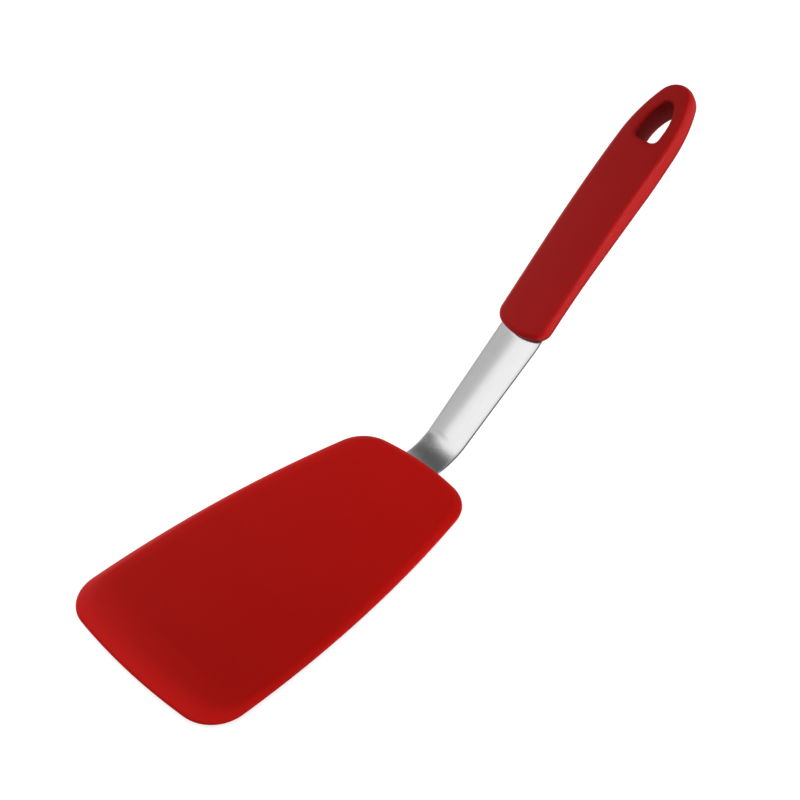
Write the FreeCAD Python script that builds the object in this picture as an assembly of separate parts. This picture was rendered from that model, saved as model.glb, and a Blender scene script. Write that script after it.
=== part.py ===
"""Silicone turner: a red flexible blade on a bent steel shank, with a soft grip and a hang hole."""
import math
import os

import FreeCAD
import Part

# All lengths are millimetres, all angles degrees.
# Blade: a paddle that widens to the front, with every edge bowed outwards.
blade_length = 140.4
blade_front_width = 81.0
blade_back_width = 56.6
blade_front_bow = 3.2
blade_back_bow = 3.6
blade_side_bow = 4.8
blade_corner_radius = 14.7
blade_thickness = 3.6
rim_thickness = 2.0
rim_round = 0.8

# Bevels that run round both faces of the blade: shallow at the front, narrow at the sides and the back.
front_bevel_width = 11.0
side_bevel_width = 3.6
back_bevel_width = 3.2
bevel_corner_radius = 10.0
# Turns of the rounded rim, then the bevel's shares of width from the rim and of rise reached there.
rim_angles = (0.0, 55.0)
bevel_width_shares = (0.35, 0.68, 1.0)
bevel_rise_shares = (0.54, 0.87, 1.0)

# Steel plate inside the blade, with round holes where the two silicone faces join.
plate_thickness = 0.6
plate_cover = 0.5
plate_front_margin = 13.0
plate_side_margin = 7.5
plate_back_margin = 8.0
plate_corner_radius = 8.0
key_hole_diameter = 6.0
key_hole_columns = 3
key_hole_rows = 2
key_field_margin_share = 0.1
key_field_length_share = 0.6
key_field_width_share = 0.56

# Shank: one strip with a flat underside and a domed top.
shank_thickness = 1.3
shank_dome_radius = 120.0
shank_neck_width = 16.6
shank_top_width = 20.0
tongue_length = 34.0
tongue_corner_radius = 5.0
bend_gap = 0.3
bend_radius = 25.8
shank_angle = 35.2
shank_run = 45.6

# Tang: the narrow end of the shank inside the handle.
tang_bend_radius = 20.0
tang_width = 12.0
tang_length = 44.0
tang_corner_radius = 4.0
tang_hole_diameter = 5.0
tang_hole_shares = (0.3, 0.7)

# Handle: a level nose, an arch that bends down by the tail's lean, then a straight tail.
handle_angle = 39.7
handle_width = 24.0
nose_length = 36.0
arch_length = 50.0
tail_angle = 6.2
tail_run = 31.5
nose_bow = 3.7
nose_corner_radius = 6.2
tail_taper_length = 28.0
tail_end_radius = 8.2
# Height of the top and depth of the underside at the nose, measured from the middle of the tang.
top_height = 5.4
under_nose_depth = 4.5
tail_thickness = 13.7
# The underside is level this far, then it bends down into the thicker tail.
under_level_length = 12.0
top_edge_radius = 2.0
under_edge_radius = 6.2

# Soft skin above and below the core, and the core's own sizes behind the solid nose of the grip.
grip_wall = 2.2
core_width = 16.0
core_setback = 9.0
core_length = 74.0

# Hang hole behind the arch of the top: a straight base and an arch that points to the tail.
hole_gap = 4.0
hole_width = 10.8
hole_straight = 6.0
hole_arch_length = 12.2
hole_tip_radius = 3.2
hole_base_radius = 2.6
hole_lip_radius = 0.8

# How far a face may lean and still count as looking along a direction, and an edge as upright.
facing_angle = 30.0
upright_angle = 1.0

# How far every cutting shape passes the surface that it cuts.
overrun = 3.0

X_AXIS = FreeCAD.Vector(1, 0, 0)
Y_AXIS = FreeCAD.Vector(0, 1, 0)
Z_AXIS = FreeCAD.Vector(0, 0, 1)

# The middle height of the blade and the height where the shank's tongue lies on the core plate.
blade_middle = blade_thickness / 2
tongue_seat = plate_cover + plate_thickness

# The arch of the handle's top: its radius and its centre's place in the handle's side view.
arch_radius = arch_length / math.sin(math.radians(tail_angle))
arch_centre = FreeCAD.Vector(nose_length, 0, top_height - arch_radius)
arch_end = nose_length + arch_length


def point(x, y, z):
    return FreeCAD.Vector(x, y, z)


def line(start, end):
    return Part.LineSegment(start, end).toShape()


def arc(start, middle, end):
    return Part.Arc(start, middle, end).toShape()


def tangent_arc(start, direction, end):
    """Arc that leaves a point along a direction and reaches another point."""
    chord = end - start
    lift = direction.cross(chord).cross(direction).normalize()
    radius = chord.Length ** 2 / (2 * chord.dot(lift))
    centre = start + lift * radius
    towards_middle = ((start + end) / 2 - centre).normalize()
    return arc(start, centre + towards_middle * radius, end)


def rounded_end(start, length, half, end_radius, level):
    """Three tangent arcs that close a strip: two long sides and a small round end."""
    tip = start + length
    side_radius = (length ** 2 + half ** 2 - 2 * length * end_radius) / (2 * (half - end_radius))
    side_centre = point(start, half - side_radius, level)
    end_centre = point(tip - end_radius, 0, level)
    outward = (end_centre - side_centre).normalize()
    halfway = (outward + Y_AXIS).normalize()
    left_start = point(start, half, level)
    left_middle = side_centre + halfway * side_radius
    left_end = end_centre + outward * end_radius
    right_start, right_middle, right_end = [
        point(place.x, -place.y, level) for place in (left_start, left_middle, left_end)
    ]
    return [
        arc(left_start, left_middle, left_end),
        arc(left_end, point(tip, 0, level), right_end),
        arc(right_end, right_middle, right_start),
    ]


def faces_towards(shape, direction):
    """Faces of a shape that look along a direction, the largest first."""
    facing = []
    for face in shape.Faces:
        low_u, high_u, low_v, high_v = face.ParameterRange
        normal = face.normalAt((low_u + high_u) / 2, (low_v + high_v) / 2)
        if normal.dot(direction) > math.cos(math.radians(facing_angle)):
            facing.append(face)
    return sorted(facing, key=lambda face: -face.Area)


def border_edges(faces):
    """Edges round a patch of faces, without the edges between them."""
    edges = [edge for face in faces for edge in face.OuterWire.Edges]
    return [edge for edge in edges if sum(edge.isSame(other) for other in edges) == 1]


def upright_edges(shape):
    """Straight edges that stand along Z."""
    straight = [edge for edge in shape.Edges if isinstance(edge.Curve, Part.Line)]
    return [edge for edge in straight if abs(edge.Curve.Direction.z) > math.cos(math.radians(upright_angle))]


def blade_prism(front_inset, side_inset, back_inset, corner_radius, bottom, height):
    """The blade's outline, drawn in from its edges, raised from a height."""
    front = front_inset - blade_length
    back = -back_inset
    half_front = blade_front_width / 2 - side_inset
    half_back = blade_back_width / 2 - side_inset
    half_middle = (half_front + half_back) / 2 + blade_side_bow
    front_corner = front + blade_front_bow
    back_corner = back - blade_back_bow
    middle = (front_corner + back_corner) / 2
    front_left = point(front_corner, half_front, bottom)
    front_right = point(front_corner, -half_front, bottom)
    back_left = point(back_corner, half_back, bottom)
    back_right = point(back_corner, -half_back, bottom)
    edges = [
        arc(front_right, point(front, 0, bottom), front_left),
        arc(front_left, point(middle, half_middle, bottom), back_left),
        arc(back_left, point(back, 0, bottom), back_right),
        arc(back_right, point(middle, -half_middle, bottom), front_right),
    ]
    prism = Part.Face(Part.Wire(edges)).extrude(Z_AXIS * height)
    return prism.makeFillet(corner_radius, upright_edges(prism))


def blade_ring(rim_inset, bevel_share, height):
    """Outline of the blade at a height, drawn in at the rim and then by a share of the bevel."""
    drawn_in = []
    for bevel_width in (front_bevel_width, side_bevel_width, back_bevel_width):
        drawn_in.append(rim_inset + (bevel_width - rim_inset) * bevel_share)
    rim_radius = blade_corner_radius - rim_inset
    radius = rim_radius + (bevel_corner_radius - rim_radius) * bevel_share
    prism = blade_prism(*drawn_in, radius, height, overrun)
    return faces_towards(prism, -Z_AXIS)[0].OuterWire


def blade_form():
    """Solid outer form of the blade: a rounded rim with a crowned bevel above and below."""
    rim_high = blade_middle + rim_thickness / 2
    rise = blade_thickness - rim_high
    upper = []
    for angle in rim_angles:
        inset = rim_round * (1 - math.cos(math.radians(angle)))
        upper.append(blade_ring(inset, 0, rim_high - rim_round * (1 - math.sin(math.radians(angle)))))
    for width_share, rise_share in zip(bevel_width_shares, bevel_rise_shares):
        upper.append(blade_ring(rim_round, width_share, rim_high + rise * rise_share))
    lower = [ring.mirror(point(0, 0, blade_middle), Z_AXIS) for ring in upper]
    return Part.makeLoft(lower[::-1] + upper, True, True)


def core_plate():
    """Spring-steel plate under the shank's tongue, with its key holes."""
    plate = blade_prism(
        plate_front_margin,
        plate_side_margin,
        plate_back_margin,
        plate_corner_radius,
        plate_cover,
        plate_thickness,
    )
    plate_length = blade_length - plate_front_margin - plate_back_margin
    first_x = plate_front_margin - blade_length + plate_length * key_field_margin_share
    step_x = plate_length * key_field_length_share / (key_hole_columns - 1)
    for column in range(key_hole_columns):
        x = first_x + step_x * column
        back_share = (x + blade_length) / blade_length
        blade_width = blade_front_width * (1 - back_share) + blade_back_width * back_share
        half_width = blade_width / 2 - plate_side_margin
        for row in range(key_hole_rows):
            side_share = key_field_width_share * (2 * row / (key_hole_rows - 1) - 1)
            start = point(x, half_width * side_share, plate_cover - overrun)
            drill = Part.makeCylinder(key_hole_diameter / 2, plate_thickness + 2 * overrun, start)
            plate = plate.cut(drill)
    return plate


def dome_drop(half_width):
    """How far the shank's domed top falls at a distance from its middle."""
    return shank_dome_radius - math.sqrt(shank_dome_radius ** 2 - half_width ** 2)


def strip_section(width, origin):
    """Closed section of the strip, square to X, with its flat underside at the origin."""
    half = width / 2
    edge_height = shank_thickness - dome_drop(half)
    low_right = origin + point(0, -half, 0)
    low_left = origin + point(0, half, 0)
    high_left = origin + point(0, half, edge_height)
    high_right = origin + point(0, -half, edge_height)
    crest = origin + point(0, 0, shank_thickness)
    edges = [
        line(low_right, low_left),
        line(low_left, high_left),
        arc(high_left, crest, high_right),
        line(high_right, low_right),
    ]
    return Part.Wire(edges)


def along(angle):
    return point(math.cos(math.radians(angle)), 0, math.sin(math.radians(angle)))


def above(angle):
    return point(-math.sin(math.radians(angle)), 0, math.cos(math.radians(angle)))


def shank_route():
    """Corner points of the strip's underside: tongue, bend, straight run, tang bend."""
    tongue_end = point(-tongue_length, 0, tongue_seat)
    bend_start = point(bend_gap, 0, tongue_seat)
    bend_centre = bend_start + Z_AXIS * bend_radius
    bend_middle = bend_centre - above(shank_angle / 2) * bend_radius
    bend_end = bend_centre - above(shank_angle) * bend_radius
    run_end = bend_end + along(shank_angle) * shank_run
    tang_centre = run_end + above(shank_angle) * tang_bend_radius
    tang_middle = tang_centre - above((shank_angle + handle_angle) / 2) * tang_bend_radius
    tang_start = tang_centre - above(handle_angle) * tang_bend_radius
    return tongue_end, bend_start, bend_middle, bend_end, run_end, tang_middle, tang_start


def handle_placement():
    """Frame of the handle: X along the tang, Z off its top, origin in the tang's middle at the nose."""
    tang_start = shank_route()[-1]
    nose = tang_start + above(handle_angle) * (shank_thickness / 2)
    return FreeCAD.Placement(nose, FreeCAD.Rotation(Y_AXIS, -handle_angle))


def shank():
    """Domed strip from the tongue to the tang."""
    tongue_end, bend_start, bend_middle, bend_end, run_end, tang_middle, tang_start = shank_route()
    shoulder = tang_start + along(handle_angle) * core_setback
    route = Part.Wire([
        line(tongue_end, bend_start),
        arc(bend_start, bend_middle, bend_end),
        line(bend_end, run_end),
        arc(run_end, tang_middle, tang_start),
        line(tang_start, shoulder),
    ])
    stock = route.makePipeShell([strip_section(shank_top_width + 2 * overrun, tongue_end)], True, False)

    half_neck = shank_neck_width / 2
    half_top = shank_top_width / 2
    outline = Part.makePolygon([
        point(-tongue_length, -half_neck, -overrun),
        point(0, -half_neck, -overrun),
        point(tang_start.x, -half_top, -overrun),
        point(shoulder.x + overrun, -half_top, -overrun),
        point(shoulder.x + overrun, half_top, -overrun),
        point(tang_start.x, half_top, -overrun),
        point(0, half_neck, -overrun),
        point(-tongue_length, half_neck, -overrun),
        point(-tongue_length, -half_neck, -overrun),
    ])
    trim = Part.Face(outline).extrude(Z_AXIS * (shoulder.z + shank_thickness + 2 * overrun))
    tongue_corners = [edge for edge in upright_edges(trim) if edge.CenterOfMass.x < -tongue_length / 2]
    trim = trim.makeFillet(tongue_corner_radius, tongue_corners)
    strip = stock.common(trim)

    tang_root = point(core_setback, 0, -shank_thickness / 2)
    tang = Part.Face(strip_section(tang_width, tang_root)).extrude(X_AXIS * tang_length)
    tang_tip = core_setback + tang_length
    tip_corners = [edge for edge in upright_edges(tang) if edge.CenterOfMass.x > tang_tip - overrun]
    tang = tang.makeFillet(tang_corner_radius, tip_corners)
    for share in tang_hole_shares:
        start = point(core_setback + tang_length * share, 0, -shank_thickness - overrun)
        drill = Part.makeCylinder(tang_hole_diameter / 2, 2 * (shank_thickness + overrun), start)
        tang = tang.cut(drill)
    tang.Placement = handle_placement()
    return strip.fuse(tang).removeSplitter()


def lean_back(shape):
    """Turn a shape drawn level, behind the nose, to the lean of the tail."""
    shape.rotate(arch_centre, Y_AXIS, tail_angle)
    return shape


def handle_plan():
    """Handle seen from above: a level front block and a tail block square to the leaning top."""
    half = handle_width / 2
    bottom = top_height - tail_thickness - arch_length
    height = top_height - bottom + overrun
    front = [
        arc(point(nose_bow, -half, bottom), point(0, 0, bottom), point(nose_bow, half, bottom)),
        line(point(nose_bow, half, bottom), point(arch_end, half, bottom)),
        line(point(arch_end, half, bottom), point(arch_end, -half, bottom)),
        line(point(arch_end, -half, bottom), point(nose_bow, -half, bottom)),
    ]
    nose = Part.Face(Part.Wire(front)).extrude(Z_AXIS * height)
    nose_corners = [edge for edge in upright_edges(nose) if edge.CenterOfMass.x < nose_length]
    nose = nose.makeFillet(nose_corner_radius, nose_corners)

    taper = nose_length + tail_run - tail_taper_length
    rear = [
        line(point(nose_length, -half, bottom), point(nose_length, half, bottom)),
        line(point(nose_length, half, bottom), point(taper, half, bottom)),
        *rounded_end(taper, tail_taper_length, half, tail_end_radius, bottom),
        line(point(taper, -half, bottom), point(nose_length, -half, bottom)),
    ]
    tail = Part.Face(Part.Wire(rear)).extrude(Z_AXIS * height)
    return nose.fuse(lean_back(tail)).removeSplitter()


def handle_profile(wall):
    """Side view of the handle, drawn in by a wall and spread past both sides."""
    side = -Y_AXIS * (handle_width / 2 + overrun)
    fall = along(-tail_angle)
    past_tail = fall * (tail_run + overrun)
    arch_turns = [above(0), above(-tail_angle / 2), above(-tail_angle)]
    arch_points = [arch_centre + turn * (arch_radius - wall) + side for turn in arch_turns]
    top_nose = point(-overrun, 0, top_height - wall) + side

    under_nose = point(-overrun, 0, wall - under_nose_depth) + side
    bend_start = point(under_level_length, 0, wall - under_nose_depth) + side
    under_tail = arch_centre + arch_turns[-1] * (arch_radius - tail_thickness + wall) + side
    bend_corner = under_tail + fall * ((bend_start.z - under_tail.z) / fall.z)
    bend_end = bend_corner + fall * (bend_corner.x - bend_start.x)
    edges = [
        line(top_nose, arch_points[0]),
        arc(*arch_points),
        line(arch_points[-1], arch_points[-1] + past_tail),
        line(arch_points[-1] + past_tail, under_tail + past_tail),
        line(under_tail + past_tail, bend_end),
        tangent_arc(bend_start, X_AXIS, bend_end),
        line(bend_start, under_nose),
        line(under_nose, top_nose),
    ]
    return Part.Face(Part.Wire(Part.__sortEdges__(edges))).extrude(side * -2)


def handle_form():
    """Rounded outer form of the handle."""
    body = handle_plan().common(handle_profile(0)).removeSplitter().Solids[0]
    body = body.makeFillet(under_edge_radius, border_edges(faces_towards(body, -Z_AXIS)))
    return body.makeFillet(top_edge_radius, border_edges(faces_towards(body, Z_AXIS)))


def hang_hole():
    """Cutting shape of the hang hole, square to the tail's top."""
    half = hole_width / 2
    base = nose_length + hole_gap
    spring = base + hole_straight
    depth = tail_thickness - top_height + overrun
    edges = [
        line(point(base, half, -depth), point(base, -half, -depth)),
        line(point(base, -half, -depth), point(spring, -half, -depth)),
        *rounded_end(spring, hole_arch_length, half, hole_tip_radius, -depth),
        line(point(spring, half, -depth), point(base, half, -depth)),
    ]
    outline = Part.Face(Part.Wire(Part.__sortEdges__(edges)))
    tool = outline.extrude(Z_AXIS * (depth + top_height + overrun))
    base_corners = [edge for edge in upright_edges(tool) if edge.CenterOfMass.x < base + hole_straight / 2]
    tool = tool.makeFillet(hole_base_radius, base_corners)
    return lean_back(tool)


def lip_edges(body):
    """Edges of the hang hole on the handle's top and underside."""
    found = []
    for face in faces_towards(body, Z_AXIS) + faces_towards(body, -Z_AXIS):
        for wire in face.Wires:
            if not wire.isSame(face.OuterWire):
                found.extend(wire.Edges)
    return found


def handle_core(steel):
    """Stiff core of the handle, moulded round the tang, from behind the nose to the hang hole."""
    depth = tail_thickness + arch_length
    block = Part.makeBox(core_length, core_width, 2 * depth, point(core_setback, -core_width / 2, -depth))
    core = block.common(handle_profile(grip_wall)).Solids[0]
    core.Placement = handle_placement()
    return core.cut(steel)


def handle_grip(steel, core):
    """Soft skin of the handle, with a rounded lip round the hang hole."""
    body = handle_form().cut(hang_hole()).Solids[0]
    body = body.makeFillet(hole_lip_radius, lip_edges(body))
    body.Placement = handle_placement()
    return body.cut([core, steel])


def main():
    os.makedirs("parts", exist_ok=True)
    plate = core_plate()
    steel = shank()
    core = handle_core(steel)
    pieces = {
        "silicone_blade": blade_form().cut([plate, steel]),
        "blade_core_plate": plate,
        "shank": steel,
        "handle_core": core,
        "handle_grip": handle_grip(steel, core),
    }
    # The origin is on the surface that the blade lies on, in the middle of the whole length.
    box = Part.makeCompound(list(pieces.values())).optimalBoundingBox()
    for name, shape in pieces.items():
        shape.translate(point(-box.Center.x, 0, 0))
        solids = shape.Solids
        print(name, len(solids), "solid", round(shape.Volume), "mm3", shape.isValid())
        solids[0].exportStep("parts/" + name + ".step")


main()
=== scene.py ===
"""Silicone turner: a red flexible blade on a bent steel shank, with a soft arched grip and a hang hole."""
import math

import bmesh
import bpy
from bpy.props import FloatProperty, FloatVectorProperty, PointerProperty
from bpy.types import Operator, Panel, PropertyGroup
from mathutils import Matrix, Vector
from mathutils.geometry import delaunay_2d_cdt


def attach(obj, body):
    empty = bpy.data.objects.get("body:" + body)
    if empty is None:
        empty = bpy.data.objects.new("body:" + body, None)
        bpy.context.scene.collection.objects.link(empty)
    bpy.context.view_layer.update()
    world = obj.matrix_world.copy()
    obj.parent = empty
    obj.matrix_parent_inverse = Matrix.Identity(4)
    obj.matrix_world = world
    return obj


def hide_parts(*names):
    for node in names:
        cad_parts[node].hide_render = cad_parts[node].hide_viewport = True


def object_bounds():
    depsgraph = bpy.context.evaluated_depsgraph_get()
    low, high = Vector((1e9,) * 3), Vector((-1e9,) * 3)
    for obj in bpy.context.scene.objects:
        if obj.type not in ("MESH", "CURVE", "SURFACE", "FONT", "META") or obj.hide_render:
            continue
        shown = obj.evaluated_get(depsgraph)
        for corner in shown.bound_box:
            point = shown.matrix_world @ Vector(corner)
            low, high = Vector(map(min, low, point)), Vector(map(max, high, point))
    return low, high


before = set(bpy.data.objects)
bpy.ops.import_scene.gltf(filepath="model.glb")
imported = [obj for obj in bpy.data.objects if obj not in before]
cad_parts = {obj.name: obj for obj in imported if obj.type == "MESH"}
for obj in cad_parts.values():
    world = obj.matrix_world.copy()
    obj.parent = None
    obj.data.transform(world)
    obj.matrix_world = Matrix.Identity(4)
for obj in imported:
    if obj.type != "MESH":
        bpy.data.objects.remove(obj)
cad_box = [list(corner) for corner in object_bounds()]

bl_info = {
    "name": "Silicone Turner",
    "version": (1, 0, 0),
    "blender": (4, 5, 0),
    "location": "3D View > Sidebar > Turner",
    "description": "Builds a silicone turner piece by piece round its packed frame",
    "category": "Object",
}

BODY = "root"
MM = 0.001

EDGE_POINTS = (44, 56, 30, 56)
CORNER_POINTS = 16
# Painted glow on the blade's rims: where it starts towards the front, where it is weakened on the right,
# and how much it fades across the bevels and is kept on the left.
GLOW_START_SHARE = 0.22
RIGHT_RIM_SHARES = (0.09375, 0.40625)
RIGHT_END_SHARES = (0.95, 0.75)
BEVEL_LOSS = 0.85
LEFT_GLOW = 0.22
RIGHT_LOSS = 0.45
# Painted light: how much less painted shade the left side of the blade gets.
LEFT_PAINTED_LIGHT = 0.25
RIM_TURN = math.radians(64)
RIM_RINGS = 5
BEVEL_RINGS = 12
FLAT_RINGS = 9

STRIP_STEPS = {"tongue": 12, "bend": 24, "run": 24, "tang_bend": 5, "setback": 4, "tang": 10}
STRIP_CORNER_STEPS = 8
STRIP_EDGE_STEPS = 4
STRIP_UNDER_STEPS = 6
STRIP_TOP_STEPS = 15
# Painted shade on the strip's edges: where it starts and where it is full, in edge radii in from the side.
PAINTED_EDGE_SHADE_SHARES = (-1.125, -0.625)
BEND_HAZE_SHARES = (0.45, 0.95)

GRIP_POINTS = {"start": 20, "corner": 12, "side": 56, "taper": 20, "tip": 14}
HOLE_POINTS = {"start": 6, "corner": 8, "side": 4, "taper": 12, "tip": 8}
WALL_TURNS = 9
LIP_TURNS = 6
UNDER_RINGS = 4
CAP_STEP = 2.2 * MM
CAP_ROOM_SHARE = 0.4
CAP_TOLERANCE = 1e-9
DEPTH_ROUNDS = 6
TAIL_SOFTENING = 0.8
SOFT_TAIL_SHARES = (0.7, 1.0)
TAIL_ROUNDING = 0.3
ROUND_TAIL_SHARES = (0.62, 0.84)
# Painted shade on the grip: how much darker the tail, the underside and the hole's lower lip are painted,
# and where the underside's painted shade starts on the wall.
TAIL_PAINTED_SHADE = 0.42
UNDER_PAINTED_SHADE = 0.95
LOWER_LIP_PAINTED_SHADE = 0.2
WALL_FOOT_SHARE = 0.45
UNDER_TURN_SHARE = 0.02

SILICONE_IOR = 1.41
GRAIN_RELIEF = 0.03 * MM
WAVE_RELIEF = 0.2 * MM
LINE_RELIEF = 0.01 * MM
CORE_RELIEF = 0.05 * MM

FLOOR_SIZE = 12.0
FLOOR_GAP = 0.2 * MM
STAGE_TURN = math.radians(-32)
NARROW_SPREAD = math.radians(44)
CORNER_GREYS = ((0.0, 0.48), (0.17, 0.48), (0.45, 0.98), (0.97, 1.0))
SHADE_GREYS = ((0.0, 0.04), (0.46, 0.06), (0.715, 0.22), (0.9, 0.5))


def length(name, note, millimetres):
    """A length that a user can change, shown in scene units."""
    return FloatProperty(name=name, description=note, default=millimetres * MM, unit="LENGTH", precision=5)


def angle(name, note, degrees):
    """An angle that a user can change, shown in degrees."""
    return FloatProperty(name=name, description=note, default=math.radians(degrees), unit="ROTATION")


def share(name, note, default):
    """A plain number from zero to one."""
    return FloatProperty(name=name, description=note, default=default, min=0, max=1, subtype="FACTOR")


def level(name, note, default):
    """A plain number with no unit."""
    return FloatProperty(name=name, description=note, default=default)


def colour(name, note, *channels):
    """A colour in linear light: red, green and blue."""
    return FloatVectorProperty(name=name, description=note, default=channels, size=3, subtype="COLOR")


class BladeSettings(PropertyGroup):
    """Sizes of the silicone blade."""

    length: length("Length", "From the front edge to the back edge", 140.4)
    front_width: length("Front width", "Width across the front corners", 81.0)
    back_width: length("Back width", "Width across the back corners", 56.6)
    front_bow: length("Front bow", "How far the front edge bows out", 3.2)
    back_bow: length("Back bow", "How far the back edge bows out", 3.6)
    side_bow: length("Side bow", "How far each side bows out", 4.8)
    corner_radius: length("Corner radius", "Radius of the four corners", 14.7)
    thickness: length("Thickness", "Thickness of the flat middle", 3.6)
    rim_thickness: length("Rim thickness", "Thickness of the rounded rim", 2.0)
    rim_round: length("Rim round", "Radius of the rim's edges", 0.8)
    front_bevel: length("Front bevel", "Width of the front edge's bevel", 11.0)
    side_bevel: length("Side bevel", "Width of the bevels along the sides", 3.6)
    back_bevel: length("Back bevel", "Width of the bevel at the back edge", 3.2)
    bevel_corner_radius: length("Bevel corner", "Corner radius where the bevels end", 10.0)
    parting_ridge: length("Parting ridge", "Height of the moulding line round the rim", 0.06)
    bevel_power: level("Bevel crown", "How fast the bevel flattens inwards", 1.8)


class ShankSettings(PropertyGroup):
    """Sizes of the steel strip."""

    thickness: length("Thickness", "Thickness at the crown of the strip", 1.3)
    dome_radius: length("Dome radius", "Radius of the domed top", 120.0)
    edge_radius: length("Edge radius", "Radius of the smoothed edges", 0.3)
    neck_width: length("Neck width", "Width at the blade", 16.6)
    top_width: length("Top width", "Width at the grip", 20.0)
    seat: length("Seat", "Height of the tongue inside the blade", 1.1)
    tongue: length("Tongue", "Length of the tongue inside the blade", 34.0)
    tongue_corner: length("Tongue corner", "Corner radius of the tongue", 5.0)
    bend_gap: length("Bend gap", "From the blade's back edge to the bend", 0.3)
    bend_radius: length("Bend radius", "Radius of the bend behind the blade", 25.8)
    rise: angle("Rise", "Slope of the straight run", 35.2)
    run: length("Run", "Length of the straight run", 45.6)
    tang_bend_radius: length("Tang bend radius", "Radius of the bend at the grip", 20.0)
    tang_setback: length("Tang setback", "How deep the full width enters the grip", 9.0)
    tang_width: length("Tang width", "Width of the tang inside the grip", 12.0)
    tang_length: length("Tang length", "Length of the narrow tang", 44.0)
    tang_corner: length("Tang corner", "Corner radius at the tang's end", 4.0)


class GripSettings(PropertyGroup):
    """Sizes of the soft grip."""

    pitch: angle("Pitch", "Slope of the grip's front half", 39.7)
    width: length("Width", "Width across the grip", 24.0)
    nose_length: length("Nose length", "Length of the straight front half", 36.0)
    arch_length: length("Arch length", "Length over which the top arches", 50.0)
    tail_lean: angle("Tail lean", "How far the arch bends the tail down", 6.2)
    tail_run: length("Tail run", "Length of the straight tail", 31.5)
    nose_bow: length("Nose bow", "How far the nose bows out over the strip", 3.7)
    nose_corner: length("Nose corner", "Corner radius of the nose", 6.2)
    taper_length: length("Taper length", "Length over which the tail narrows", 28.0)
    tail_radius: length("Tail radius", "Radius of the tail's end", 8.2)
    top_height: length("Top height", "From the tang's middle to the top", 5.4)
    nose_depth: length("Nose depth", "From the tang's middle to the nose's underside", 4.5)
    tail_thickness: length("Tail thickness", "Thickness of the tail", 13.7)
    level_length: length("Level underside", "Length of the level part behind the nose", 12.0)
    top_round: length("Top round", "Radius of the top edges", 2.0)
    crown: length("Crown", "How far the top falls to its sides", 0.4)
    under_round: length("Under round", "Radius of the underside's edges", 6.2)
    hole_gap: length("Hole gap", "From the arch to the hang hole", 4.0)
    hole_width: length("Hole width", "Width of the hang hole", 10.8)
    hole_straight: length("Hole straight", "Length of the hole's straight sides", 6.0)
    hole_arch: length("Hole arch", "Length of the hole's arched end", 12.2)
    hole_tip: length("Hole tip", "Radius at the tip of the hole's arch", 3.2)
    hole_corner: length("Hole corner", "Corner radius at the base of the hole", 2.6)
    hole_lip: length("Hole lip", "Radius of the lip round the hole", 0.8)


class FinishSettings(PropertyGroup):
    """Colours and surface levels."""

    blade_red: colour("Blade red", "Colour of the blade's middle", 0.366, 0.0038, 0.002)
    # Painted glow: a lighter red that stands in for light through the thin rim.
    rim_glow_red: colour("Rim red", "Colour of the blade's thin rim", 0.52, 0.0075, 0.0055)
    grip_red: colour("Grip red", "Colour of the grip", 0.348, 0.0028, 0.0024)
    steel_grey: colour("Steel grey", "Colour of the strip", 0.44, 0.44, 0.44)
    plate_grey: colour("Plate grey", "Colour of the plate inside the blade", 0.5, 0.5, 0.5)
    core_black: colour("Core black", "Colour of the core inside the grip", 0.05, 0.05, 0.052)
    blade_gloss: share("Blade gloss", "Specular level of the blade", 0.05)
    grip_gloss: share("Grip gloss", "Specular level of the grip", 0.15)
    blade_roughness: share("Blade roughness", "Roughness of the blade", 0.5)
    grip_roughness: share("Grip roughness", "Roughness of the grip", 0.52)
    steel_roughness: share("Steel roughness", "Roughness of the strip", 0.13)


class StageSettings(PropertyGroup):
    """Camera, floor and light."""

    camera_x: length("Camera X", "Place of the camera along X", -294.27)
    camera_y: length("Camera Y", "Place of the camera along Y", -277.7)
    camera_z: length("Camera Z", "Height of the camera", 388.2)
    camera_tilt: angle("Camera tilt", "Turn of the camera up from straight down", 48.56)
    camera_turn: angle("Camera turn", "Turn of the camera about the vertical", -45.03)
    lens: level("Lens", "Focal length in millimetres", 65.25)
    sensor: level("Sensor", "Width of the camera's sensor in millimetres", 36.0)
    floor_white: share("Floor white", "How pale the floor is", 0.55)
    floor_lift: share("Floor lift", "How far the seen floor is lifted to white", 0.7)
    room_light: level("Room light", "Level of the even light from all round", 0.525)
    top_light: level("Top light", "Power of the lamp above, in watts", 5.4)
    right_light: level("Right light", "Power of the low lamp on the right, in watts", 0.41)
    left_light: level("Left light", "Power of the lamp on the left, in watts", 10.0)


def heading(turn):
    """A step of length one in the plane, at a turn from the first axis."""
    return Vector((math.cos(turn), math.sin(turn)))


def mirrored(point):
    """A point in the plane on the other side of the first axis."""
    return Vector((point.x, -point.y))


class Outline:
    """A closed run of points in the plane, each with its outward direction."""

    def __init__(self):
        self.points = []
        self.normals = []

    def line(self, start, end, count):
        """Points from a start up to an end, with the outside on the left."""
        start, end = Vector(start), Vector(end)
        way = (end - start).normalized()
        for i in range(count):
            self.points.append(start.lerp(end, i / count))
            self.normals.append(way.orthogonal())

    def arc(self, centre, start, end, count):
        """Points the short way round a centre from a start up to an end, facing away from it."""
        centre = Vector(centre)
        first, last = Vector(start) - centre, Vector(end) - centre
        begin = math.atan2(first.y, first.x)
        turn = (math.atan2(last.y, last.x) - begin + math.pi) % (2 * math.pi) - math.pi
        for i in range(count):
            out = heading(begin + turn * i / count)
            self.points.append(centre + out * first.length)
            self.normals.append(out)

    def moved_in(self, distance):
        """The points, moved square to the outline towards its inside."""
        return [p - n * distance for p, n in zip(self.points, self.normals)]


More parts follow.
